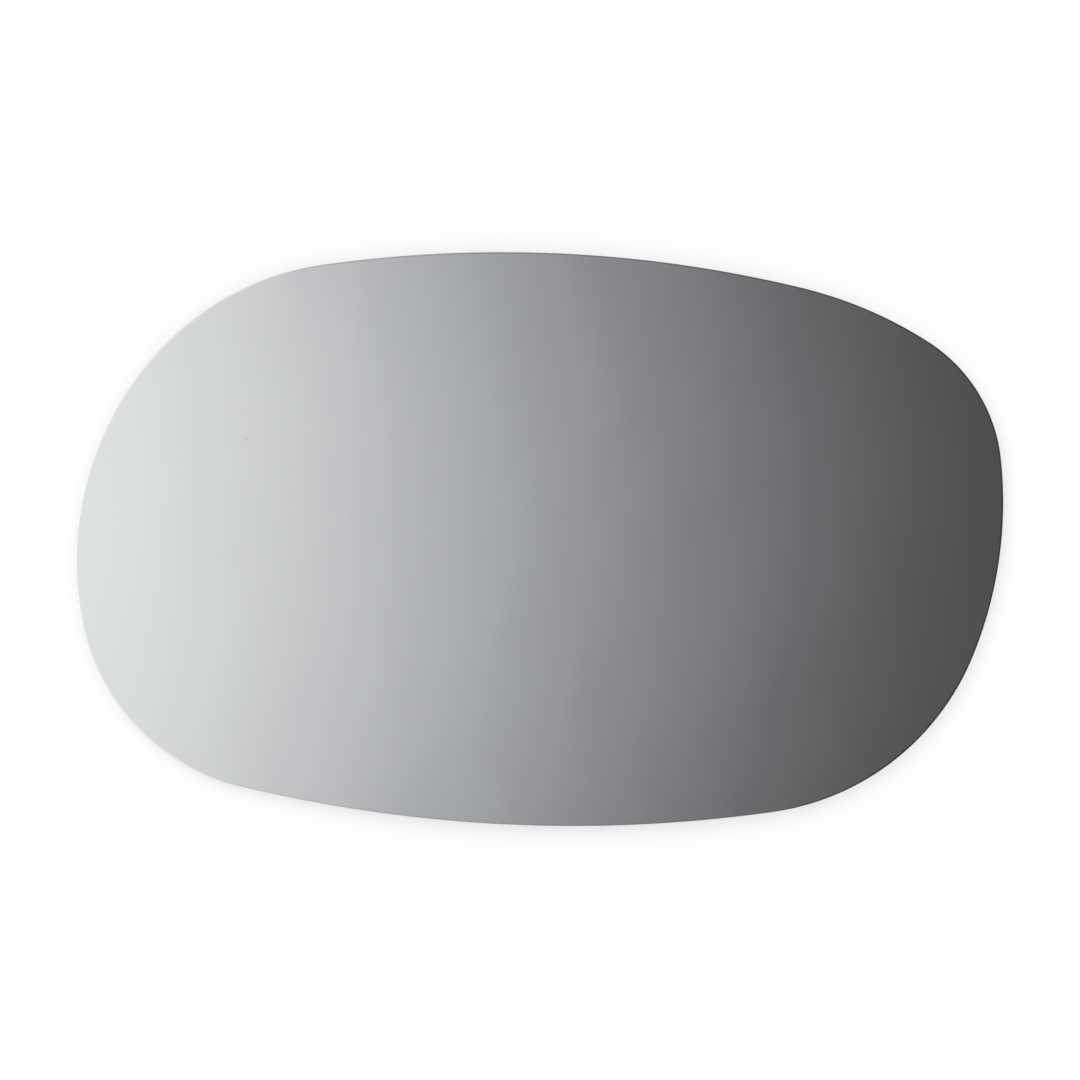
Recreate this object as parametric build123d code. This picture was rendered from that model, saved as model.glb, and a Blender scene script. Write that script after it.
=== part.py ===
from build123d import *
import os
from math import cos, radians, sin

import numpy as np

# Glass of a car door mirror: one pane of float glass, bent to a shallow dome, cut to its outline,
# ground square round its edge and seamed (lightly bevelled) front and back.
# Millimetres. The pane lies on the rim of its hollow back with the mirror face up, +Z. +Y is up and
# +X is right as it is looked at on the car. The origin is under the middle of its box, at the rim.

# Finished size of the pane
GLASS_WIDTH = 166.0
GLASS_HEIGHT = 102.7
GLASS_THICKNESS = 2.0

# Radius of the dome, which is part of a sphere
MIRROR_RADIUS = 1400.0

# Corners of the outline
LOWER_RIGHT_RADIUS = 45.5
UPPER_RIGHT_RADIUS = 28.5
SHOULDER_RADIUS = 75.0
UPPER_LEFT_RADIUS = 49.5
LOWER_LEFT_RADIUS = 37.5

# Degrees that each side's arc turns before and after its outermost point, going round counter-clockwise
BOTTOM_TURN_BEFORE = 13.5
BOTTOM_TURN_AFTER = 8.0
RIGHT_TURN_BEFORE = 22.5
RIGHT_TURN_AFTER = 6.0
TOP_TURN_BEFORE = 13.5
TOP_TURN_AFTER = 8.0
LEFT_TURN_BEFORE = 41.0
LEFT_TURN_AFTER = 12.0

# Degrees that the shoulder turns, between the upper right corner and the top
SHOULDER_TURN = 19.0

# Seam on the front and back edges: its width across the face and its depth down the ground edge
SEAM_WIDTH = 0.3
SEAM_DEPTH = 0.2


def outline_arcs():
    """List the outline's arcs as (radius, start heading, end heading), with no radius yet for the sides."""
    sections = [
        (None, BOTTOM_TURN_AFTER),
        (LOWER_RIGHT_RADIUS, 90 - RIGHT_TURN_BEFORE),
        (None, 90 + RIGHT_TURN_AFTER),
        (UPPER_RIGHT_RADIUS, 180 - TOP_TURN_BEFORE - SHOULDER_TURN),
        (SHOULDER_RADIUS, 180 - TOP_TURN_BEFORE),
        (None, 180 + TOP_TURN_AFTER),
        (UPPER_LEFT_RADIUS, 270 - LEFT_TURN_BEFORE),
        (None, 270 + LEFT_TURN_AFTER),
        (LOWER_LEFT_RADIUS, 360 - BOTTOM_TURN_BEFORE),
    ]
    arcs = []
    start = -BOTTOM_TURN_BEFORE
    for radius, end in sections:
        arcs.append((radius, start, end))
        start = end
    return arcs


def travel(start, end, way):
    """How far a unit arc goes one way, 0 for right or 90 for up, while it heads within 90 degrees of it."""
    total = 0
    for turn in (-360, 0, 360):
        first, last = np.clip([start - way - turn, end - way - turn], -90, 90)
        total += sin(radians(last)) - sin(radians(first))
    return total


def close_outline(arcs):
    """Give the four sides the radii with which the tangent arcs close at the finished width and height."""
    spans = {0: GLASS_WIDTH, 90: GLASS_HEIGHT, 180: GLASS_WIDTH, 270: GLASS_HEIGHT}
    sides = [arc for arc in arcs if arc[0] is None]
    corners = [arc for arc in arcs if arc[0] is not None]
    side_travel = [[travel(start, end, way) for _, start, end in sides] for way in spans]
    side_spans = []
    for way, span in spans.items():
        corner_travel = sum(radius * travel(start, end, way) for radius, start, end in corners)
        side_spans.append(span - corner_travel)
    side_radii = iter(np.linalg.solve(side_travel, side_spans))
    return [(radius or float(next(side_radii)), start, end) for radius, start, end in arcs]


def outline_face():
    """Draw the outline as tangent arcs and centre its box on the origin."""
    edges = []
    point = Vector(0, 0)
    for radius, start, end in close_outline(outline_arcs()):
        heading = (cos(radians(start)), sin(radians(start)))
        edges.append(JernArc(point, heading, radius, end - start))
        point = edges[-1] @ 1
    face = make_face(edges)
    return Pos(-face.bounding_box().center()) * face


def mirror_glass():
    """Cut the outline from a bent sheet, seam both edges and lay the pane on its rim."""
    poles_aside = (90, 0, 0)
    front = Sphere(MIRROR_RADIUS, rotation=poles_aside)
    back = Sphere(MIRROR_RADIUS - GLASS_THICKNESS, rotation=poles_aside)
    cutter = extrude(outline_face(), MIRROR_RADIUS + GLASS_THICKNESS)
    pane = cutter & (front - back)
    for highest_or_lowest in (-1, 0):
        domed_face = pane.faces().filter_by(GeomType.SPHERE).sort_by(Axis.Z)[highest_or_lowest]
        pane = chamfer(domed_face.edges(), SEAM_WIDTH, SEAM_DEPTH, reference=domed_face)
    return Pos(0, 0, -pane.bounding_box().min.Z) * pane


os.makedirs("parts", exist_ok=True)
glass = mirror_glass()
glass.label = "mirror_glass"
export_step(glass, "parts/mirror_glass.step")
print("mirror_glass", glass.bounding_box().size, "volume", round(glass.volume))
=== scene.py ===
# %% [markdown]
# # Glass of a car door mirror
# The real object is one pane of thin float glass. It was heated until it sagged into a shallow dome, cut
# to its outline, ground round its edge, and coated in a vacuum so that it reflects. The CAD model fixes
# its size and place. This lesson gives it a finer mesh, four finishes, a table to lie on and the light of
# a product photograph.
#
# The CAD model is loaded first. Its box gives the size of the pane.

# %% Load the CAD model
import math

import bmesh
import bpy
import numpy as np
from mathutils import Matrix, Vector


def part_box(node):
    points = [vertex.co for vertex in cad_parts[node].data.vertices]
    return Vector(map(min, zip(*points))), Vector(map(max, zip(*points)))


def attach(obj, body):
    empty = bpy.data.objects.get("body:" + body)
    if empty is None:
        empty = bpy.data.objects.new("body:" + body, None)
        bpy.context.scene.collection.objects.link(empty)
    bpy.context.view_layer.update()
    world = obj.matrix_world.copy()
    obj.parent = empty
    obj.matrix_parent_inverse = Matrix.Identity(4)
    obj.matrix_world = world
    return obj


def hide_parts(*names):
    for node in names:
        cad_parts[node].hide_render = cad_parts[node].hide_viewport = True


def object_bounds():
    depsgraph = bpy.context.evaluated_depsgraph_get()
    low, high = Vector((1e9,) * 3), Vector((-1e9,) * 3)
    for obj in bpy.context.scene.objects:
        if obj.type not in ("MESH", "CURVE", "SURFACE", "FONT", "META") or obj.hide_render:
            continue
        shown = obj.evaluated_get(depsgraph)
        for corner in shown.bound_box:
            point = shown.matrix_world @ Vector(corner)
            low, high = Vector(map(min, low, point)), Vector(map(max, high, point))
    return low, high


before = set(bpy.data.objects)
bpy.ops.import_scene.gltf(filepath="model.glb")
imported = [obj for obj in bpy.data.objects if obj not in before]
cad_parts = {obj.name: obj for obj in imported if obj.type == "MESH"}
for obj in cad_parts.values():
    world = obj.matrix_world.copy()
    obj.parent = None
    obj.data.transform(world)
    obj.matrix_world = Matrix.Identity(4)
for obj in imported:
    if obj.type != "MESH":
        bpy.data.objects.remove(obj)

MM = 0.001
cad_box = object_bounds()
pane_width, pane_height, pane_depth = cad_box[1] - cad_box[0]
print(f"CAD box {pane_width / MM:.2f} x {pane_height / MM:.2f} x {pane_depth / MM:.2f} mm")

# %% [markdown]
# ## Measure the pane
# The pane follows a rule: one outline seen from above, and two domes about one centre, for the face and
# for the back. Both could be typed in again here, but then they might drift away from the CAD model. So
# they are measured on its mesh instead. The upright polygons are the ground edge, and their corners give
# the outline. A least-squares fit through the corners of the face, and of the back, gives each dome.

# %% Find the outline on the ground edge
UPRIGHT = 0.05
CLOSEST_CORNERS = 0.2 * MM

cad_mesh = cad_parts["mirror_glass"].data
edge_corners = set()
for polygon in cad_mesh.polygons:
    if abs(polygon.normal.z) < UPRIGHT:
        edge_corners.update(polygon.vertices)
corners_around = sorted(
    (cad_mesh.vertices[corner].co.xy for corner in edge_corners),
    key=lambda place: math.atan2(place.y, place.x),
)
outline = []
for place in corners_around:
    if not outline or (place - outline[-1]).length > CLOSEST_CORNERS:
        outline.append(place.copy())
if (outline[-1] - outline[0]).length < CLOSEST_CORNERS:
    outline.pop()
print(f"outline of {len(outline)} corners from {len(edge_corners)} on the ground edge")

# %% Fit the two domes
FACING = 0.95


def fit_dome(side):
    """Fit a sphere about the Z axis to the CAD face on this side, 1 for up or -1 for down."""
    facing = [polygon for polygon in cad_mesh.polygons if side * polygon.normal.z > FACING]
    corners = {corner for polygon in facing for corner in polygon.vertices}
    places = np.array([cad_mesh.vertices[corner].co for corner in sorted(corners)], float)
    unknowns = np.column_stack((2 * places[:, 2], np.ones(len(places))))
    centre, rest = np.linalg.lstsq(unknowns, (places ** 2).sum(axis=1), rcond=None)[0]
    return float(centre), math.sqrt(rest + centre ** 2)


front_centre, front_radius = fit_dome(1)
back_centre, back_radius = fit_dome(-1)
print(f"front dome radius {front_radius / MM:.2f} mm, centre at {front_centre / MM:.2f} mm")
print(f"back dome radius {back_radius / MM:.2f} mm, centre at {back_centre / MM:.2f} mm")

# %% [markdown]
# ## Draw the outline
# A pane is scored by a wheel that runs along a template, so its outline is one smooth closed line. A
# chain of straight edges would show its corners in a close view. A closed Bezier curve with automatic
# handles passes through every measured corner and rounds the stretches between them.

# %% Draw the closed outline
CURVE_STEPS = 12

outline_curve = bpy.data.curves.new("outline", "CURVE")
outline_curve.dimensions = "3D"
outline_curve.resolution_u = CURVE_STEPS
spline = outline_curve.splines.new("BEZIER")
spline.bezier_points.add(len(outline) - 1)
spline.use_cyclic_u = True
for point, place in zip(spline.bezier_points, outline):
    point.co = (place.x, place.y, 0)
    point.handle_left_type = "AUTO"
    point.handle_right_type = "AUTO"
outline_drawing = bpy.data.objects.new("outline", outline_curve)
bpy.context.scene.collection.objects.link(outline_drawing)
print(f"outline drawn, {spline.calc_length() / MM:.1f} mm round")

# %% [markdown]
# ## One helper for every node
# The pane, its finishes and the light are all node trees. One function adds a node, sets its properties,
# and fills its sockets: a socket in place of a value makes a link. Sockets that share a name are reached
# by their place in the list instead. In a Map Range node, 0 is the value, 1 and 2 are the range that it
# comes from, and 3 and 4 the range that it goes to. In a Mix node, 0 is the factor, 2 and 3 are the
# numbers to mix, and 6 and 7 the colours.

# %% Add a node with its settings and links
def add(tree, kind, sockets=None, **settings):
    """Add a node of this kind, set its properties, and give its sockets values or links."""
    node = tree.nodes.new(kind)
    for name, value in settings.items():
        setattr(node, name, value)
    for socket, value in (sockets or {}).items():
        if isinstance(value, bpy.types.NodeSocket):
            tree.links.new(value, node.inputs[socket])
        else:
            node.inputs[socket].default_value = value
    return node


# Nearly all of a noise lies between these two values, and its mean is in the middle.
NOISE_LOW = 0.25
NOISE_HIGH = 0.75
print("node helper ready")

# %% [markdown]
# ## The pane as a node tree
# The pane could be cut from a sphere with booleans, but that leaves long thin faces, and a mirror shows
# every one of them. Here a flat grid is rolled into the pane instead. Its columns go round the outline.
# Its rows go from the middle of the front, out over the front seam, down the ground edge, and back under
# to the middle of the back. A seam is what glass workers call the narrow bevel that takes the sharpness
# off an edge. Every face is then a neat quad that follows the dome.
#
# The tree has a named input for each size, and one for each finish.

# %% Name the inputs of the tree
pane_tree = bpy.data.node_groups.new("bent_pane", "GeometryNodeTree")
pane_inputs = {
    "Outline": "NodeSocketGeometry",
    "Columns": "NodeSocketInt",
    "Rings": "NodeSocketInt",
    "Front radius": "NodeSocketFloat",
    "Back radius": "NodeSocketFloat",
    "Dome centre": "NodeSocketFloat",
    "Seam width": "NodeSocketFloat",
    "Seam depth": "NodeSocketFloat",
    "Seam waver": "NodeSocketFloat",
    "Waver length": "NodeSocketFloat",
    "Ripple height": "NodeSocketFloat",
    "Ripple length": "NodeSocketFloat",
    "Seed": "NodeSocketFloat",
    "Mirror face": "NodeSocketMaterial",
    "Front seam": "NodeSocketMaterial",
    "Ground edge": "NodeSocketMaterial",
    "Painted back": "NodeSocketMaterial",
}
for name, kind in pane_inputs.items():
    pane_tree.interface.new_socket(name, in_out="INPUT", socket_type=kind)
pane_tree.interface.new_socket("Pane", in_out="OUTPUT", socket_type="NodeSocketGeometry")
size = add(pane_tree, "NodeGroupInput").outputs
print(f"tree with {len(pane_inputs)} inputs")

# %% [markdown]
# A grid node is centred on the origin, and that is useful here. With rows one unit apart, Y is a signed
# row number: the ground edge lies between -0.5 and 0.5, the seams reach to -1.5 and 1.5, and the rows
# beyond are the front and the back. The number is captured before the grid is bent, because the finishes
# at the end still need it.

# %% Lay out the grid
EDGE_ROW = 0.5
SEAM_ROW = 1.0
FACE_ROW = 1.5
SIDES = 2
GRID_LENGTH = 1.0

# Each side has its rings, and the ground edge and the two seams take three more strips between them.
strips = add(pane_tree, "ShaderNodeMath", {
    0: size["Rings"],
    1: SIDES,
    2: SIDES * FACE_ROW,
}, operation="MULTIPLY_ADD")
rows = add(pane_tree, "ShaderNodeMath", {0: strips.outputs[0], 1: 1}, operation="ADD")
grid = add(pane_tree, "GeometryNodeMeshGrid", {
    "Size X": GRID_LENGTH,
    "Size Y": strips.outputs[0],
    "Vertices X": size["Columns"],
    "Vertices Y": rows.outputs[0],
})
print("grid laid out, with two rows for the ground edge")

# %% Number its rows
grid_place = add(pane_tree, "GeometryNodeInputPosition")
grid_axes = add(pane_tree, "ShaderNodeSeparateXYZ", {0: grid_place.outputs[0]})
keep_row = add(pane_tree, "GeometryNodeCaptureAttribute", {
    "Geometry": grid.outputs["Mesh"],
}, domain="POINT")
keep_row.capture_items.new("FLOAT", "row")
pane_tree.links.new(grid_axes.outputs["Y"], keep_row.inputs["row"])
row = keep_row.outputs["row"]
row_from_edge = add(pane_tree, "ShaderNodeMath", {0: row}, operation="ABSOLUTE").outputs[0]
on_edge = add(pane_tree, "ShaderNodeMath", {
    0: row_from_edge,
    1: SEAM_ROW,
}, operation="LESS_THAN").outputs[0]
on_face = add(pane_tree, "ShaderNodeMath", {
    0: row_from_edge,
    1: SEAM_ROW,
}, operation="GREATER_THAN").outputs[0]
print("rows numbered from the ground edge")

# %% [markdown]
# Each column takes its place from the outline. On the face rows that place moves inward by the width of
# the seam, and then shrinks towards the middle, ring by ring. A seam is held to the grinding belt by
# hand, so in places it falls a little short of its full width. A noise read along the outline takes that
# off, and is the same for every row of a column.

# %% Take the columns from the outline
along = add(pane_tree, "ShaderNodeMath", {
    0: grid_axes.outputs["X"],
    1: GRID_LENGTH / 2,
}, operation="ADD")
rim = add(pane_tree, "GeometryNodeSampleCurve", {
    "Curves": size["Outline"],
    "Factor": along.outputs[0],
}, mode="FACTOR")
inward = add(pane_tree, "ShaderNodeVectorMath", {
    0: (0, 0, 1),
    1: rim.outputs["Tangent"],
}, operation="CROSS_PRODUCT")
print("columns placed round the outline")

# %% Let the width of the seam waver
waver_scale = add(pane_tree, "ShaderNodeMath", {0: 1, 1: size["Waver length"]}, operation="DIVIDE")
waver = add(pane_tree, "ShaderNodeTexNoise", {
    "Vector": rim.outputs["Position"],
    "W": size["Seed"],
    "Scale": waver_scale.outputs[0],
    "Detail": 2,
}, noise_dimensions="4D")
waver_swing = add(pane_tree, "ShaderNodeMapRange", {
    0: waver.outputs[0],
    1: NOISE_LOW,
    2: NOISE_HIGH,
    3: -1,
    4: 0,
})
seam = add(pane_tree, "ShaderNodeMath", {
    0: waver_swing.outputs[0],
    1: size["Seam waver"],
    2: size["Seam width"],
}, operation="MULTIPLY_ADD")
inset = add(pane_tree, "ShaderNodeMath", {0: seam.outputs[0], 1: on_face}, operation="MULTIPLY")
inset_rim = add(pane_tree, "ShaderNodeVectorMath", {
    0: inward.outputs[0],
    1: inset.outputs[0],
    2: rim.outputs["Position"],
}, operation="MULTIPLY_ADD")
print("face rows moved in by the seam")

# %% Shrink the rings towards the middle
last_row = add(pane_tree, "ShaderNodeMath", {0: strips.outputs[0], 1: SIDES}, operation="DIVIDE")
ring = add(pane_tree, "ShaderNodeMapRange", {
    0: row_from_edge,
    1: FACE_ROW,
    2: last_row.outputs[0],
    3: 1,
    4: 0,
})
flat_place = add(pane_tree, "ShaderNodeVectorMath", {
    0: inset_rim.outputs[0],
    "Scale": ring.outputs[0],
}, operation="SCALE").outputs[0]
print("rings laid out, still flat")

# %% [markdown]
# The height comes from the domes: the front radius for rows above the edge, the back radius for rows
# below. Pythagoras gives the height of a dome over any point. The two rows of the ground edge start from
# the same domes, and each is moved in by the depth of the seam.

# %% Raise the rows onto the domes
radius = add(pane_tree, "ShaderNodeMapRange", {
    0: row,
    1: -EDGE_ROW,
    2: EDGE_ROW,
    3: size["Back radius"],
    4: size["Front radius"],
}).outputs[0]
radius_squared = add(pane_tree, "ShaderNodeMath", {0: radius, 1: radius}, operation="MULTIPLY")
reach_squared = add(pane_tree, "ShaderNodeVectorMath", {
    0: flat_place,
    1: flat_place,
}, operation="DOT_PRODUCT")
rise_squared = add(pane_tree, "ShaderNodeMath", {
    0: radius_squared.outputs[0],
    1: reach_squared.outputs["Value"],
}, operation="SUBTRACT")
rise = add(pane_tree, "ShaderNodeMath", {0: rise_squared.outputs[0]}, operation="SQRT")
dome_height = add(pane_tree, "ShaderNodeMath", {
    0: rise.outputs[0],
    1: size["Dome centre"],
}, operation="ADD")
edge_row = add(pane_tree, "ShaderNodeMath", {0: row, 1: on_edge}, operation="MULTIPLY")
seam_drop = add(pane_tree, "ShaderNodeMath", {
    0: size["Seam depth"],
    1: -1 / EDGE_ROW,
}, operation="MULTIPLY")
seamed_height = add(pane_tree, "ShaderNodeMath", {
    0: edge_row.outputs[0],
    1: seam_drop.outputs[0],
    2: dome_height.outputs[0],
}, operation="MULTIPLY_ADD")
print("rows raised onto the domes")

# %% [markdown]
# Glass that sags in a furnace is never perfectly even, so a slow ripple of about a hundredth of a
# millimetre is added. It cannot be seen as a shape, but a mirror bends what it reflects with it.

# %% Add the ripple and bend the grid
ripple_scale = add(pane_tree, "ShaderNodeMath", {0: 1, 1: size["Ripple length"]}, operation="DIVIDE")
ripple = add(pane_tree, "ShaderNodeTexNoise", {
    "Vector": flat_place,
    "W": size["Seed"],
    "Scale": ripple_scale.outputs[0],
    "Detail": 1,
}, noise_dimensions="4D")
ripple_swing = add(pane_tree, "ShaderNodeMapRange", {
    0: ripple.outputs[0],
    1: NOISE_LOW,
    2: NOISE_HIGH,
    3: -1,
    4: 1,
})
height = add(pane_tree, "ShaderNodeMath", {
    0: ripple_swing.outputs[0],
    1: size["Ripple height"],
    2: seamed_height.outputs[0],
}, operation="MULTIPLY_ADD")
upward = add(pane_tree, "ShaderNodeCombineXYZ", {"Z": height.outputs[0]})
bent_place = add(pane_tree, "ShaderNodeVectorMath", {
    0: flat_place,
    1: upward.outputs[0],
}, operation="ADD")
bent = add(pane_tree, "GeometryNodeSetPosition", {
    "Geometry": keep_row.outputs["Geometry"],
    "Position": bent_place.outputs[0],
})
print("grid bent into the pane")

# %% [markdown]
# The first and last columns now lie on each other, and each pole is a heap of points in one place.
# Merge by Distance closes both. The faces are shaded smooth, but the four lines where a seam begins or
# ends are kept sharp, because grinding leaves a crisp line there. On an edge of the mesh the row number
# is the mean of its two ends, so exactly those lines have a row of 0.5 or 1.5 on either side.

# %% Close the pane and keep its lines crisp
CLOSED = 0.001 * MM
ROW_TOLERANCE = 0.1

closed = add(pane_tree, "GeometryNodeMergeByDistance", {
    "Geometry": bent.outputs[0],
    "Distance": CLOSED,
})
smooth = add(pane_tree, "GeometryNodeSetShadeSmooth", {0: closed.outputs[0]}, domain="FACE")
row_from_seam = add(pane_tree, "ShaderNodeMath", {0: row_from_edge, 1: SEAM_ROW}, operation="SUBTRACT")
seam_distance = add(pane_tree, "ShaderNodeMath", {0: row_from_seam.outputs[0]}, operation="ABSOLUTE")
seam_line = add(pane_tree, "ShaderNodeMath", {
    0: seam_distance.outputs[0],
    1: SEAM_ROW - EDGE_ROW,
    2: ROW_TOLERANCE,
}, operation="COMPARE")
crisp = add(pane_tree, "GeometryNodeSetShadeSmooth", {
    0: smooth.outputs[0],
    1: seam_line.outputs[0],
    2: False,
}, domain="EDGE")
print("pane closed, with four crisp lines round its edge")

# %% [markdown]
# Last, each band of rows gets its finish. The ground edge is given to the whole pane first, and the other
# finishes then replace it on their own rows. The back seam keeps the finish of the edge.

# %% Give each band its finish
above_edge = add(pane_tree, "ShaderNodeMath", {0: row, 1: EDGE_ROW}, operation="GREATER_THAN")
front_rows = add(pane_tree, "ShaderNodeMath", {0: row, 1: FACE_ROW}, operation="GREATER_THAN")
back_rows = add(pane_tree, "ShaderNodeMath", {0: row, 1: -FACE_ROW}, operation="LESS_THAN")
bands = {
    "Ground edge": True,
    "Front seam": above_edge.outputs[0],
    "Mirror face": front_rows.outputs[0],
    "Painted back": back_rows.outputs[0],
}
pane = add(pane_tree, "GeometryNodeRealizeInstances", {0: crisp.outputs[0]}).outputs[0]
for finish, where in bands.items():
    pane = add(pane_tree, "GeometryNodeSetMaterial", {
        "Geometry": pane,
        "Selection": where,
        "Material": size[finish],
    }).outputs[0]
add(pane_tree, "NodeGroupOutput", {0: pane})
print(f"tree of {len(pane_tree.nodes)} nodes")

# %% [markdown]
# ## Colours
# A colour picker gives sRGB values, but a shader works with linear light. One function turns a hex colour
# into the linear one, so that every colour below can be read and compared as it is seen.

# %% Turn a hex colour into linear light
def linear(hex_colour):
    """Turn an sRGB hex colour into linear red, green, blue and alpha."""
    colour = []
    for start in (1, 3, 5):
        level = int(hex_colour[start:start + 2], 16) / 255
        colour.append(level / 12.92 if level <= 0.04045 else ((level + 0.055) / 1.055) ** 2.4)
    return (*colour, 1.0)


def start_material(name):
    """Make a material with an empty node tree, and return both."""
    material = bpy.data.materials.new(name)
    material.use_nodes = True
    material.node_tree.nodes.clear()
    return material, material.node_tree


print("mid grey #808080 is", round(linear("#808080")[0], 3), "in linear light")

# %% [markdown]
# ## Mirror coat
# The front is metal, laid on the glass in a vacuum as a film far thinner than paint. It could be made as
# clear glass over a sheet of metal, but the eye meets only the metal, so one metal surface does. It keeps
# the polish of the glass: its roughness is very low, and its grey slightly cool. What makes it look real
# is what little disturbs it. The film is not quite even in tint, a wiping cloth leaves faint smears, and
# a few motes of dust settle on it. All three are patterns on Object coordinates, in real sizes.

# %% Vacuum-coated mirror face
TINT_LENGTH = 70 * MM
SMEAR_LENGTH = 45 * MM
SMEAR_WIDTH = 3 * MM
SMEAR_TURN = math.radians(24)
SMEAR_START = 0.45
MOTE_SPACING = 26 * MM
MOTE_RADIUS = 0.07 * MM
COAT_ROUGHNESS = 0.015
SMEAR_ROUGHNESS = 0.05
MOTE_ROUGHNESS = 0.6

# Evaporated metal on polished glass: reflects sharply, about four fifths of the light, a little cool.
mirror_coat, tree = start_material("vacuum_coated_mirror")
place = add(tree, "ShaderNodeTexCoord").outputs["Object"]
tint = add(tree, "ShaderNodeTexNoise", {"Vector": place, "Scale": 1 / TINT_LENGTH, "Detail": 1})
coat_colour = add(tree, "ShaderNodeMix", {
    0: tint.outputs[0],
    6: linear("#E3E6E8"),
    7: linear("#E5E8EA"),
}, data_type="RGBA")
smear_place = add(tree, "ShaderNodeMapping", {
    "Vector": place,
    "Rotation": (0, 0, SMEAR_TURN),
    "Scale": (1 / SMEAR_LENGTH, 1 / SMEAR_WIDTH, 1 / SMEAR_WIDTH),
})
smear = add(tree, "ShaderNodeTexNoise", {"Vector": smear_place.outputs[0], "Scale": 1, "Detail": 3})
haze = add(tree, "ShaderNodeMapRange", {
    0: smear.outputs[0],
    1: SMEAR_START,
    2: NOISE_HIGH,
    3: COAT_ROUGHNESS,
    4: SMEAR_ROUGHNESS,
})
mote_cells = add(tree, "ShaderNodeTexVoronoi", {
    "Vector": place,
    "Scale": 1 / MOTE_SPACING,
}, voronoi_dimensions="2D")
mote_chance = add(tree, "ShaderNodeSeparateColor", {0: mote_cells.outputs["Color"]})
mote_radius = add(tree, "ShaderNodeMath", {
    0: mote_chance.outputs[0],
    1: MOTE_RADIUS / MOTE_SPACING,
}, operation="MULTIPLY")
mote = add(tree, "ShaderNodeMath", {
    0: mote_cells.outputs["Distance"],
    1: mote_radius.outputs[0],
}, operation="LESS_THAN")
dusty_colour = add(tree, "ShaderNodeMix", {
    0: mote.outputs[0],
    6: coat_colour.outputs[2],
    7: linear("#8A8A86"),
}, data_type="RGBA")
dusty_haze = add(tree, "ShaderNodeMix", {0: mote.outputs[0], 2: haze.outputs[0], 3: MOTE_ROUGHNESS})
shader = add(tree, "ShaderNodeBsdfPrincipled", {
    "Base Color": dusty_colour.outputs[2],
    "Metallic": 1.0,
    "Roughness": dusty_haze.outputs[0],
})
add(tree, "ShaderNodeOutputMaterial", {"Surface": shader.outputs[0]})
print(f"{mirror_coat.name}: {len(tree.nodes)} nodes")

# %% [markdown]
# ## Coated front seam
# The seam takes the sharpness off the glass. It is ground before the pane is coated, so it carries the
# same metal, but over a ground that a fine belt has scratched. It still mirrors the room, a little
# blurred and with a fine glitter. It could share the finish of the face, but then it would be a second,
# perfect mirror, and the rim would look machined. The pits of the belt are too fine for any picture, so
# they are drawn about three times as coarse as they are.

# %% Coated ground seam
SEAM_GRIT = 0.15 * MM
SEAM_PITS = 0.012 * MM
SEAM_PIT_STRENGTH = 0.2
SEAM_DULL = 0.14
SEAM_BRIGHT = 0.09

# Evaporated metal over finely ground glass: a soft mirror, with a fine glitter.
coated_seam, tree = start_material("coated_ground_seam")
place = add(tree, "ShaderNodeTexCoord").outputs["Object"]
grit = add(tree, "ShaderNodeTexNoise", {"Vector": place, "Scale": 1 / SEAM_GRIT, "Detail": 2})
grit_colour = add(tree, "ShaderNodeMix", {
    0: grit.outputs[0],
    6: linear("#DADDDF"),
    7: linear("#ECEFF0"),
}, data_type="RGBA")
grit_haze = add(tree, "ShaderNodeMapRange", {
    0: grit.outputs[0],
    1: NOISE_LOW,
    2: NOISE_HIGH,
    3: SEAM_DULL,
    4: SEAM_BRIGHT,
})
pits = add(tree, "ShaderNodeBump", {
    "Height": grit.outputs[0],
    "Strength": SEAM_PIT_STRENGTH,
    "Distance": SEAM_PITS,
})
shader = add(tree, "ShaderNodeBsdfPrincipled", {
    "Base Color": grit_colour.outputs[2],
    "Metallic": 1.0,
    "Roughness": grit_haze.outputs[0],
    "Normal": pits.outputs[0],
})
add(tree, "ShaderNodeOutputMaterial", {"Surface": shader.outputs[0]})
print(f"{coated_seam.name}: {len(tree.nodes)} nodes")

# %% [markdown]
# ## Ground edge
# A diamond wheel runs round the pane and leaves its edge matt, like frosted glass. Float glass holds a
# little iron, so an edge is grey-green. It could be true glass that light passes through, but a ground
# surface scatters the light so much that an opaque matt one looks the same and is simpler. The wheel also
# leaves fine lines along the edge. A noise that is long in X and Y and very short in Z draws them,
# because the edge is upright all the way round.

# %% Diamond-ground glass edge
WHEEL_LINE_LENGTH = 6 * MM
WHEEL_LINE_WIDTH = 0.12 * MM
EDGE_GRIT = 0.2 * MM
EDGE_PITS = 0.015 * MM
EDGE_PIT_STRENGTH = 0.6
EDGE_DULL = 0.62
EDGE_BRIGHT = 0.45
GROUND_LOW = 0.1
GROUND_HIGH = 0.4
GLASS_IOR = 1.52

# Ground soda-lime glass: matt, pale grey-green, with faint lines along the edge.
ground_edge, tree = start_material("diamond_ground_glass")
place = add(tree, "ShaderNodeTexCoord").outputs["Object"]
line_place = add(tree, "ShaderNodeMapping", {
    "Vector": place,
    "Scale": (1 / WHEEL_LINE_LENGTH, 1 / WHEEL_LINE_LENGTH, 1 / WHEEL_LINE_WIDTH),
})
lines = add(tree, "ShaderNodeTexNoise", {"Vector": line_place.outputs[0], "Scale": 1, "Detail": 3})
grit = add(tree, "ShaderNodeTexNoise", {"Vector": place, "Scale": 1 / EDGE_GRIT, "Detail": 2})
ground = add(tree, "ShaderNodeMath", {0: lines.outputs[0], 1: grit.outputs[0]}, operation="MULTIPLY")
edge_shade = add(tree, "ShaderNodeMapRange", {0: ground.outputs[0], 1: GROUND_LOW, 2: GROUND_HIGH})
edge_colour = add(tree, "ShaderNodeMix", {
    0: edge_shade.outputs[0],
    6: linear("#828F89"),
    7: linear("#C3CCC6"),
}, data_type="RGBA")
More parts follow.
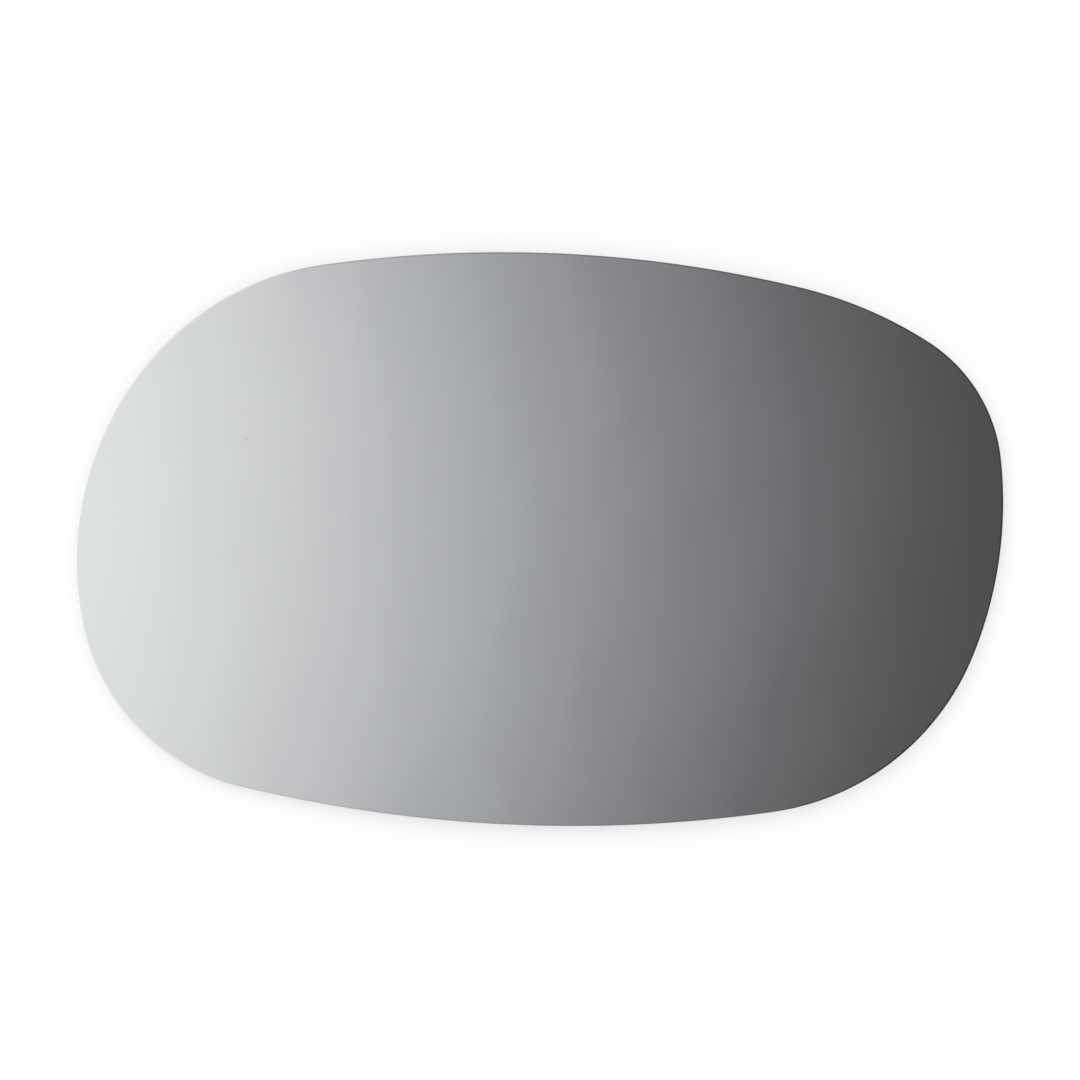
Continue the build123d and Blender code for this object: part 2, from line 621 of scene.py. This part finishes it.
edge_haze = add(tree, "ShaderNodeMapRange", {
    0: ground.outputs[0],
    1: GROUND_LOW,
    2: GROUND_HIGH,
    3: EDGE_DULL,
    4: EDGE_BRIGHT,
})
pits = add(tree, "ShaderNodeBump", {
    "Height": ground.outputs[0],
    "Strength": EDGE_PIT_STRENGTH,
    "Distance": EDGE_PITS,
})
shader = add(tree, "ShaderNodeBsdfPrincipled", {
    "Base Color": edge_colour.outputs[2],
    "Roughness": edge_haze.outputs[0],
    "IOR": GLASS_IOR,
    "Normal": pits.outputs[0],
})
add(tree, "ShaderNodeOutputMaterial", {"Surface": shader.outputs[0]})
print(f"{ground_edge.name}: {len(tree.nodes)} nodes")

# %% [markdown]
# ## Painted back
# The back is sprayed with a dark lacquer that keeps stray light and damp out, and a carrier is bonded to
# it later. Sprayed paint dries with a skin like orange peel, and its drops leave the gloss uneven. The
# peel could be part of the mesh, but it is far shallower than the ripple of the glass, so a bump is
# enough. Two noises do it: one of the size of the peel, and a broader one for shade and gloss. A real
# peel is a few thousandths of a millimetre deep. It is drawn deeper here, so that it shows.

# %% Sprayed backing paint
PEEL_LENGTH = 1.8 * MM
PEEL_HEIGHT = 0.06 * MM
PEEL_STRENGTH = 1.0
SPRAY_LENGTH = 14 * MM
PAINT_BRIGHT = 0.26
PAINT_DULL = 0.38
CLOUD_LOW = 0.3
CLOUD_HIGH = 0.7
LACQUER_IOR = 1.5

# Baked lacquer: near black, half gloss, with a slight orange peel and soft clouds from the spray.
backing_paint, tree = start_material("sprayed_backing_lacquer")
place = add(tree, "ShaderNodeTexCoord").outputs["Object"]
peel = add(tree, "ShaderNodeTexNoise", {"Vector": place, "Scale": 1 / PEEL_LENGTH, "Detail": 1})
spray = add(tree, "ShaderNodeTexNoise", {"Vector": place, "Scale": 1 / SPRAY_LENGTH, "Detail": 5})
clouds = add(tree, "ShaderNodeMapRange", {0: spray.outputs[0], 1: CLOUD_LOW, 2: CLOUD_HIGH})
paint_colour = add(tree, "ShaderNodeMix", {
    0: clouds.outputs[0],
    6: linear("#191A1C"),
    7: linear("#282A2C"),
}, data_type="RGBA")
paint_gloss = add(tree, "ShaderNodeMapRange", {
    0: spray.outputs[0],
    1: CLOUD_LOW,
    2: CLOUD_HIGH,
    3: PAINT_BRIGHT,
    4: PAINT_DULL,
})
skin = add(tree, "ShaderNodeBump", {
    "Height": peel.outputs[0],
    "Strength": PEEL_STRENGTH,
    "Distance": PEEL_HEIGHT,
})
shader = add(tree, "ShaderNodeBsdfPrincipled", {
    "Base Color": paint_colour.outputs[2],
    "Roughness": paint_gloss.outputs[0],
    "IOR": LACQUER_IOR,
    "Normal": skin.outputs[0],
})
add(tree, "ShaderNodeOutputMaterial", {"Surface": shader.outputs[0]})
print(f"{backing_paint.name}: {len(tree.nodes)} nodes")

# %% [markdown]
# ## Make the pane
# The tree goes on the outline as a modifier. A modifier keeps its inputs under identifiers, not names, so
# a small table turns one into the other. All inputs are set before Blender works the tree out for the
# first time. The result is copied to a plain mesh, and the drawing with its modifier is thrown away.

# %% Set the sizes and work the tree out
COLUMNS = 481
RINGS = 30
# The CAD mesh goes round the outline in straight steps, too coarse to measure the narrow seam on. So the
# width and depth of the seam are written here again.
SEAM_WIDTH = 0.3 * MM
SEAM_DEPTH = 0.2 * MM
SEAM_WAVER = 0.03 * MM
WAVER_LENGTH = 9 * MM
RIPPLE_HEIGHT = 0.018 * MM
RIPPLE_LENGTH = 24 * MM
SEED = 7.0

pane_sizes = {
    "Columns": COLUMNS,
    "Rings": RINGS,
    "Front radius": front_radius,
    "Back radius": back_radius,
    "Dome centre": front_centre,
    "Seam width": SEAM_WIDTH,
    "Seam depth": SEAM_DEPTH,
    "Seam waver": SEAM_WAVER,
    "Waver length": WAVER_LENGTH,
    "Ripple height": RIPPLE_HEIGHT,
    "Ripple length": RIPPLE_LENGTH,
    "Seed": SEED,
    "Mirror face": mirror_coat,
    "Front seam": coated_seam,
    "Ground edge": ground_edge,
    "Painted back": backing_paint,
}
bending = outline_drawing.modifiers.new("bent_pane", "NODES")
bending.node_group = pane_tree
for item in pane_tree.interface.items_tree:
    if item.name in pane_sizes:
        bending[item.identifier] = pane_sizes[item.name]
evaluated = outline_drawing.evaluated_get(bpy.context.evaluated_depsgraph_get())
pane_mesh = bpy.data.meshes.new_from_object(evaluated)
bpy.data.objects.remove(outline_drawing)
# A grid node brings an empty material slot along, which comes first.
pane_mesh.materials.pop(index=0)
print(f"pane of {len(pane_mesh.vertices)} points and {len(pane_mesh.polygons)} faces")

# %% Check that the pane is closed and faces outwards
mesh = bmesh.new()
mesh.from_mesh(pane_mesh)
open_edges = sum(not edge.is_manifold for edge in mesh.edges)
print(f"open edges {open_edges}, volume {mesh.calc_volume(signed=True) / MM ** 3:.0f} mm3")
mesh.free()

# %% Put the pane in place of the CAD node
mirror_pane = bpy.data.objects.new("mirror_pane", pane_mesh)
bpy.context.scene.collection.objects.link(mirror_pane)
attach(mirror_pane, "root")
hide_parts("mirror_glass")
print("finishes:", [material.name for material in pane_mesh.materials])

# %% [markdown]
# ## Table
# A product photograph has a white ground with no edge. More light would burn the object out, so the
# table gets its white another way. It is a pale matt surface that takes the shadow of the pane, and for
# what the camera sees, directly or in glass and metal, it also glows a little. Together they come to
# white.

# %% Tell what the camera sees from what only lights the pane
def seen_by_camera(tree):
    """Give 1 for what the camera sees, directly or in glass and metal, and 0 for all other light."""
    path = add(tree, "ShaderNodeLightPath").outputs
    seen = path["Is Camera Ray"]
    for ray in ("Is Glossy Ray", "Is Transmission Ray"):
        seen = add(tree, "ShaderNodeMath", {0: seen, 1: path[ray]}, operation="MAXIMUM").outputs[0]
    return seen


print("light path helper ready")

# %% White table
TABLE_SIZE = 8.0
TABLE_GAP = 0.02 * MM
TABLE_GLOW = 0.62
TABLE_ROUGHNESS = 0.9

# Matt laminate: pale, with no gloss, so that it takes only a soft shadow.
white_table, tree = start_material("matt_white_laminate")
glow = add(tree, "ShaderNodeMath", {0: seen_by_camera(tree), 1: TABLE_GLOW}, operation="MULTIPLY")
shader = add(tree, "ShaderNodeBsdfPrincipled", {
    "Base Color": linear("#AAAAAA"),
    "Roughness": TABLE_ROUGHNESS,
    "Specular IOR Level": 0.0,
    "Emission Color": linear("#FFFFFF"),
    "Emission Strength": glow.outputs[0],
})
add(tree, "ShaderNodeOutputMaterial", {"Surface": shader.outputs[0]})
white_table.cycles.emission_sampling = "NONE"

half = TABLE_SIZE / 2
table_plan = [(-half, -half), (half, -half), (half, half), (-half, half)]
table_mesh = bpy.data.meshes.new("table")
table_mesh.from_pydata([(x, y, -TABLE_GAP) for x, y in table_plan], [], [(0, 1, 2, 3)])
table_mesh.materials.append(white_table)
table = bpy.data.objects.new("table", table_mesh)
bpy.context.scene.collection.objects.link(table)
print(f"table {TABLE_SIZE:.0f} m square")

# %% [markdown]
# ## Light tent
# A mirror has no look of its own: it shows what stands round it. Photographers therefore put it under a
# tent of white cloth lit from one side, and the mirror shows a soft run from light to dark. Here the tent
# is a half sphere that only reflections can see. It casts no light on the table and no shade on the
# pane, so the run can be set freely.
#
# Seen from above, the mirror shows only a small part of the tent. A ray that comes down on the pane
# leaves it tilted by its own slant and by twice the slant of the dome, and it starts off to one side.
# These three together give the tent's reach in the mirror.

# %% Work out how much of the tent the mirror shows
CAMERA_HEIGHT = 1.0
TENT_RADIUS = 2.5

tent_per_metre = 1 / CAMERA_HEIGHT + 2 / front_radius + 1 / TENT_RADIUS
tent_reach = tent_per_metre * pane_width / 2
print(f"the mirror shows the tent out to {tent_reach:.3f} of its radius")

# %% [markdown]
# The run goes across the tent from left to right, so it starts from X, as a share of the tent's radius.
# It spreads out on the walls, where the cloth hangs wider. It also bows a little towards the front and
# the back, and soft folds in the cloth sway it. All this could be painted on, but a mirror would show
# every stroke. Here X itself is changed before it is turned into colour, so the run stays smooth.

# %% Spread and bow the run
WALL_TOP = 0.9
WALL_MIDDLE = 0.5
WALL_SPREAD = 0.5
BOW = 0.06
BOW_MIDDLE = 0.017
BOW_REACH = 0.222

tent_cloth, tree = start_material("tent_cloth")
place = add(tree, "ShaderNodeTexCoord").outputs["Object"]
direction = add(tree, "ShaderNodeVectorMath", {0: place}, operation="NORMALIZE")
tent_axes = add(tree, "ShaderNodeSeparateXYZ", {0: direction.outputs[0]}).outputs
spread = add(tree, "ShaderNodeMapRange", {
    0: tent_axes["Z"],
    1: WALL_TOP,
    2: WALL_MIDDLE,
    3: 1,
    4: WALL_SPREAD,
}, interpolation_type="SMOOTHSTEP")
depth = add(tree, "ShaderNodeMath", {0: tent_axes["Y"], 1: BOW_MIDDLE}, operation="SUBTRACT")
depth_squared = add(tree, "ShaderNodeMath", {0: depth.outputs[0], 1: 2}, operation="POWER")
bow = add(tree, "ShaderNodeMapRange", {0: depth_squared.outputs[0], 2: BOW_REACH ** 2, 4: BOW})
bowed = add(tree, "ShaderNodeMath", {
    0: tent_axes["X"],
    1: spread.outputs[0],
    2: bow.outputs[0],
}, operation="MULTIPLY_ADD")
print(f"the run spreads to {1 / WALL_SPREAD:.1f} times its width and bows by {BOW}")

# %% Sway the run with the folds
FOLD_WIDTH = 0.06
FOLD_LENGTH = 0.2
FOLD_SWAY = 0.006
# The noise goes on without end, and this picks the stretch of it that hangs over the pane.
FOLD_PLACE = (-5.1, -2.9, 0)

fold_place = add(tree, "ShaderNodeMapping", {
    "Vector": direction.outputs[0],
    "Location": FOLD_PLACE,
    "Scale": (1 / FOLD_WIDTH, 1 / FOLD_LENGTH, 1),
})
folds = add(tree, "ShaderNodeTexNoise", {"Vector": fold_place.outputs[0], "Scale": 1, "Detail": 2})
sway = add(tree, "ShaderNodeMapRange", {
    0: folds.outputs[0],
    1: NOISE_LOW,
    2: NOISE_HIGH,
    3: -FOLD_SWAY,
    4: FOLD_SWAY,
})
swayed = add(tree, "ShaderNodeMath", {0: bowed.outputs[0], 1: sway.outputs[0]}, operation="ADD")
print(f"the run sways by {FOLD_SWAY} of the tent's radius")

# %% [markdown]
# From lower down, the mirror shows the walls of the tent. If they went on with the run, the pane would
# look like a painted board, because most views would show a single grey. So a belt of grey cloth goes
# round the walls. In its middle it has painted light and shade, light left and dark right as in the run;
# towards its ends its tone turns the other way, so that it stands out from the run on every side.
#
# The run and the belt are both ramps across the tent, with their stops evenly spread. The run's go past
# what the mirror shows, by two thirds on each side. A ramp could be linear, but its kinks would show in
# the mirror as lines. A B-spline ramp has none.

# %% Colour the run and the belt
# The run is painted light and shade: white cloth, bright on the lit left side and in shade on the right,
# painted into the tent's glow.
RUN_COLOURS = [
    "#FBFBFB",
    "#FFFFFF",
    "#F7F6F5",
    "#D8D7D8",
    "#ACACAE",
    "#848385",
    "#5C5A5C",
    "#484648",
    "#272628",
]
RUN_PAST = 2 / 3
RUN_REACH = (1 + RUN_PAST) * tent_reach
BELT_COLOURS = ["#A0A0A0", "#F4F4F4", "#2C2C2C", "#D8D8D8"]
BELT_REACH = 0.6

ramps = []
for across, reach, colours in (
    (swayed.outputs[0], RUN_REACH, RUN_COLOURS),
    (tent_axes["X"], BELT_REACH, BELT_COLOURS),
):
    share = add(tree, "ShaderNodeMapRange", {0: across, 1: -reach, 2: reach})
    ramp = add(tree, "ShaderNodeValToRGB", {0: share.outputs[0]})
    ramp.color_ramp.interpolation = "B_SPLINE"
    stops = ramp.color_ramp.elements
    stops.remove(stops[1])
    stops[0].color = linear(colours[0])
    for number, colour in enumerate(colours[1:], start=1):
        stops.new(number / (len(colours) - 1)).color = linear(colour)
    ramps.append(ramp.outputs["Color"])
    print(f"ramp of {len(stops)} colours out to {reach:.3f} of the tent's radius")
run_colour, belt_colour = ramps

# %% [markdown]
# It takes a clear line in the reflection to tell a mirror from paint. The belt therefore has a crisp
# lower edge, and fades upwards into the run. Further down is the hem, where the cloth ends and the sweep
# of the table begins. The wall between the two keeps the run, because it is what the narrow seam of the
# pane shows when it is seen from above. Heights are shares of the tent's radius too.

# %% Put the belt and the hem on the walls
BELT_EDGE = (0.3, 0.322)
BELT_FADE = (0.95, 0.3)
HEM_EDGE = (0.105, 0.085)
# The sweep of the table is white; its light grey here is painted shade.
SWEEP_COLOUR = "#C8C8C8"

heights = []
for lowest, highest in (BELT_EDGE, BELT_FADE, HEM_EDGE):
    heights.append(add(tree, "ShaderNodeMapRange", {
        0: tent_axes["Z"],
        1: lowest,
        2: highest,
    }, interpolation_type="SMOOTHSTEP").outputs[0])
above_belt_edge, below_belt_fade, below_hem = heights
belt = add(tree, "ShaderNodeMath", {0: above_belt_edge, 1: below_belt_fade}, operation="MULTIPLY")
wall_colour = add(tree, "ShaderNodeMix", {
    0: belt.outputs[0],
    6: run_colour,
    7: belt_colour,
}, data_type="RGBA")
tent_colour = add(tree, "ShaderNodeMix", {
    0: below_hem,
    6: wall_colour.outputs[2],
    7: linear(SWEEP_COLOUR),
}, data_type="RGBA")
cloth = add(tree, "ShaderNodeEmission", {"Color": tent_colour.outputs[2], "Strength": 1.0})
add(tree, "ShaderNodeOutputMaterial", {"Surface": cloth.outputs[0]})
tent_cloth.cycles.emission_sampling = "NONE"
print(f"{tent_cloth.name}: {len(tree.nodes)} nodes")

# %% Put the tent up
TENT_SIDES = 64

mesh = bmesh.new()
bmesh.ops.create_uvsphere(mesh, u_segments=TENT_SIDES, v_segments=TENT_SIDES // 2, radius=TENT_RADIUS)
below = [vertex for vertex in mesh.verts if vertex.co.z < -MM]
bmesh.ops.delete(mesh, geom=below, context="VERTS")
tent_mesh = bpy.data.meshes.new("tent")
mesh.to_mesh(tent_mesh)
mesh.free()
tent_mesh.materials.append(tent_cloth)
tent = bpy.data.objects.new("tent", tent_mesh)
bpy.context.scene.collection.objects.link(tent)
tent.visible_camera = False
tent.visible_diffuse = False
tent.visible_shadow = False
print(f"tent of {len(tent_mesh.polygons)} panels")

# %% [markdown]
# ## Light
# The world gives even white light from all round, which shows a colour about as it is written. One wide
# soft lamp from the upper left adds a little direction, so that the pane has a light and a dark side. The
# mirror should show the tent alone, so the lamp is hidden from reflections.

# %% Even light and one soft lamp
WORLD_LIGHT = 0.8
LAMP_SHARE = 0.2
LAMP_PLACE = Vector((-0.9, 0.7, 1.3))
LAMP_SIZE = 1.2

world = bpy.data.worlds.new("even_light")
world.use_nodes = True
tree = world.node_tree
tree.nodes.clear()
strength = add(tree, "ShaderNodeMix", {0: seen_by_camera(tree), 2: WORLD_LIGHT, 3: 1.0})
even_light = add(tree, "ShaderNodeBackground", {
    "Color": linear("#FFFFFF"),
    "Strength": strength.outputs[0],
})
add(tree, "ShaderNodeOutputWorld", {"Surface": even_light.outputs[0]})
bpy.context.scene.world = world

# A lamp of this power gives a level surface its share of the light that an even white world would give.
lamp_distance = LAMP_PLACE.length
lamp_data = bpy.data.lights.new("soft_lamp", "AREA")
lamp_data.size = LAMP_SIZE
lamp_data.energy = LAMP_SHARE * math.pi ** 2 * lamp_distance ** 3 / LAMP_PLACE.z
lamp = bpy.data.objects.new("soft_lamp", lamp_data)
lamp.location = LAMP_PLACE
lamp.rotation_euler = (-LAMP_PLACE).to_track_quat("-Z", "Y").to_euler()
lamp.visible_glossy = False
lamp.visible_camera = False
bpy.context.scene.collection.objects.link(lamp)
print(f"lamp of {lamp_data.energy:.1f} W at {lamp_distance:.2f} m")

# %% [markdown]
# ## Camera
# The photograph looks straight at the glass, so the camera looks straight down on the pane as it lies. A
# long lens from about a metre keeps the outline true. The lens is worked out from how much of the picture
# the pane fills, and the camera stands over the point of the pane that is in the picture's middle.

# %% Camera straight above
PICTURE_SIZE = 1080
PANE_LEFT = 76.8
PANE_RIGHT = 1003.4
PANE_TOP = 252.3
PANE_BOTTOM = 825.8

pixel = pane_width / (PANE_RIGHT - PANE_LEFT)
camera_data = bpy.data.cameras.new("camera")
rim_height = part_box("mirror_glass")[1].z / 2
camera_data.lens = camera_data.sensor_width * (CAMERA_HEIGHT - rim_height) / (PICTURE_SIZE * pixel)
camera = bpy.data.objects.new("camera", camera_data)
camera.location = (
    (PICTURE_SIZE - PANE_LEFT - PANE_RIGHT) / 2 * pixel,
    (PANE_TOP + PANE_BOTTOM - PICTURE_SIZE) / 2 * pixel,
    CAMERA_HEIGHT,
)
bpy.context.scene.collection.objects.link(camera)
bpy.context.scene.camera = camera
bpy.context.scene.view_settings.view_transform = "Standard"
print(f"lens {camera_data.lens:.1f} mm, one pixel is {pixel / MM:.4f} mm")
